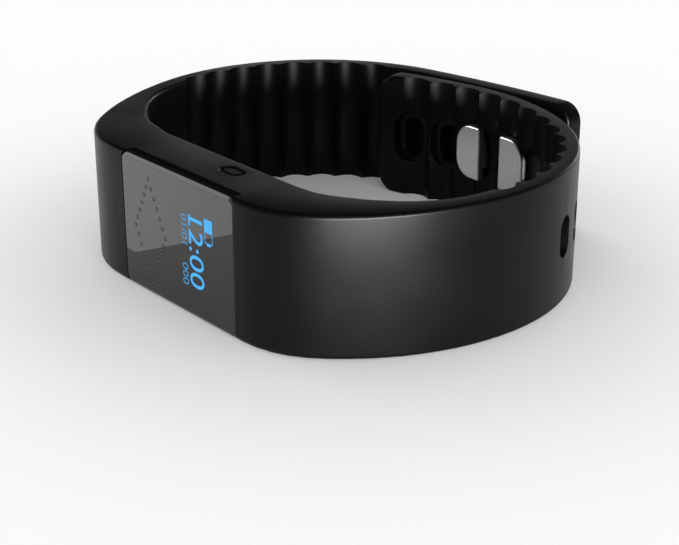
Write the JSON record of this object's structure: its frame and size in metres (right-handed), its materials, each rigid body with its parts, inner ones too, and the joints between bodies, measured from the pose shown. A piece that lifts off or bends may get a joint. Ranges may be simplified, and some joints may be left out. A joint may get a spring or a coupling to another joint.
{
  "type": "fitness tracker band",
  "caption": "Wrist fitness tracker lying on its side: display module in a silicone sleeve, fluted buckle strap and hole strap closed by a steel stud clasp, one side key.",
  "frame": {"origin": "middle of the band's footprint on the surface it lies on", "axes": "+Z across the band's width, +X along the lens towards the strap with the holes, +Y from the lens towards the clasp"},
  "size_m": [0.076, 0.0668, 0.02],
  "materials": {
    "silicone": "matte moulded silicone",
    "lens": "polished smoked acrylic",
    "frame_black": "black gloss",
    "steel": "fine brushed, bright edges",
    "electrode": "copper film",
    "display": "display glass",
    "foam": "closed-cell foam",
    "flex_film": "polyimide film",
    "core_plastic": "fine texture",
    "seal": "soft seal",
    "screw": "bright",
    "gold": "gold plated",
    "board": "solder mask",
    "chip": "moulded epoxy",
    "crystal": "bright can",
    "antenna": "ceramic",
    "battery": "laminated foil",
    "tape": "adhesive tape",
    "nickel": "nickel strip",
    "motor_steel": "drawn steel",
    "tungsten": "sintered",
    "switch_plastic": "moulded",
    "dome_metal": "spring metal"
  },
  "bodies": {
    "module": {"band_sleeve": "silicone", "front_lens": "lens", "lens_frame": "frame_black", "touch_electrode": "electrode", "display_panel": "display", "display_pad": "foam", "display_flex": "flex_film", "core_housing": "core_plastic", "rear_cover": "core_plastic", "cover_seal": "seal", "cover_screws": "screw", "charge_contacts": "gold", "main_board": "board", "radio_chip": "chip", "memory_chip": "chip", "motion_sensor": "chip", "clock_crystal": "crystal", "radio_antenna": "antenna", "battery_cell": "battery", "battery_tape": "tape", "battery_tabs": "nickel", "motor_can": "motor_steel", "motor_boot": "foam", "switch_body": "switch_plastic", "switch_dome": "dome_metal", "key_seal": "foam"},
    "buckle_side": {"buckle_strap": "silicone", "clasp_plate": "steel", "left_stud": "steel", "right_stud": "steel"},
    "hole_side": {"hole_strap": "silicone"},
    "key": {"side_key": "silicone", "switch_plunger": "switch_plastic"},
    "rotor": {"motor_shaft": "motor_steel", "motor_weight": "tungsten"}
  },
  "joints": [
    {"name": "buckle_strap_flex", "type": "hinge", "parent": "module", "child": "buckle_side", "pos_m": [-0.03143, -0.01612, 0.01], "axis": [0, 0, 1], "range_deg": [0, 50], "stiffness_Nm_per_rad": 0.02, "deforming": ["buckle_strap"]},
    {"name": "hole_strap_flex", "type": "hinge", "parent": "module", "child": "hole_side", "pos_m": [0.03383, -0.01576, 0.01], "axis": [0, 0, -1], "range_deg": [0, 30], "stiffness_Nm_per_rad": 0.02, "deforming": ["hole_strap"]},
    {"name": "side_key_press", "type": "slide", "parent": "module", "child": "key", "axis": [0, 0, -1], "range_m": [0, 0.00035], "stiffness_N_per_m": 800, "deforming": ["switch_dome"]},
    {"name": "motor_spin", "type": "hinge", "parent": "module", "child": "rotor", "pos_m": [0.01396, -0.02796, 0.0048], "axis": [0, 0, 1], "continuous": true}
  ],
  "couplings": [
    {"joint": "hole_strap_flex", "follows": "buckle_strap_flex", "ratio": 0.6}
  ]
}
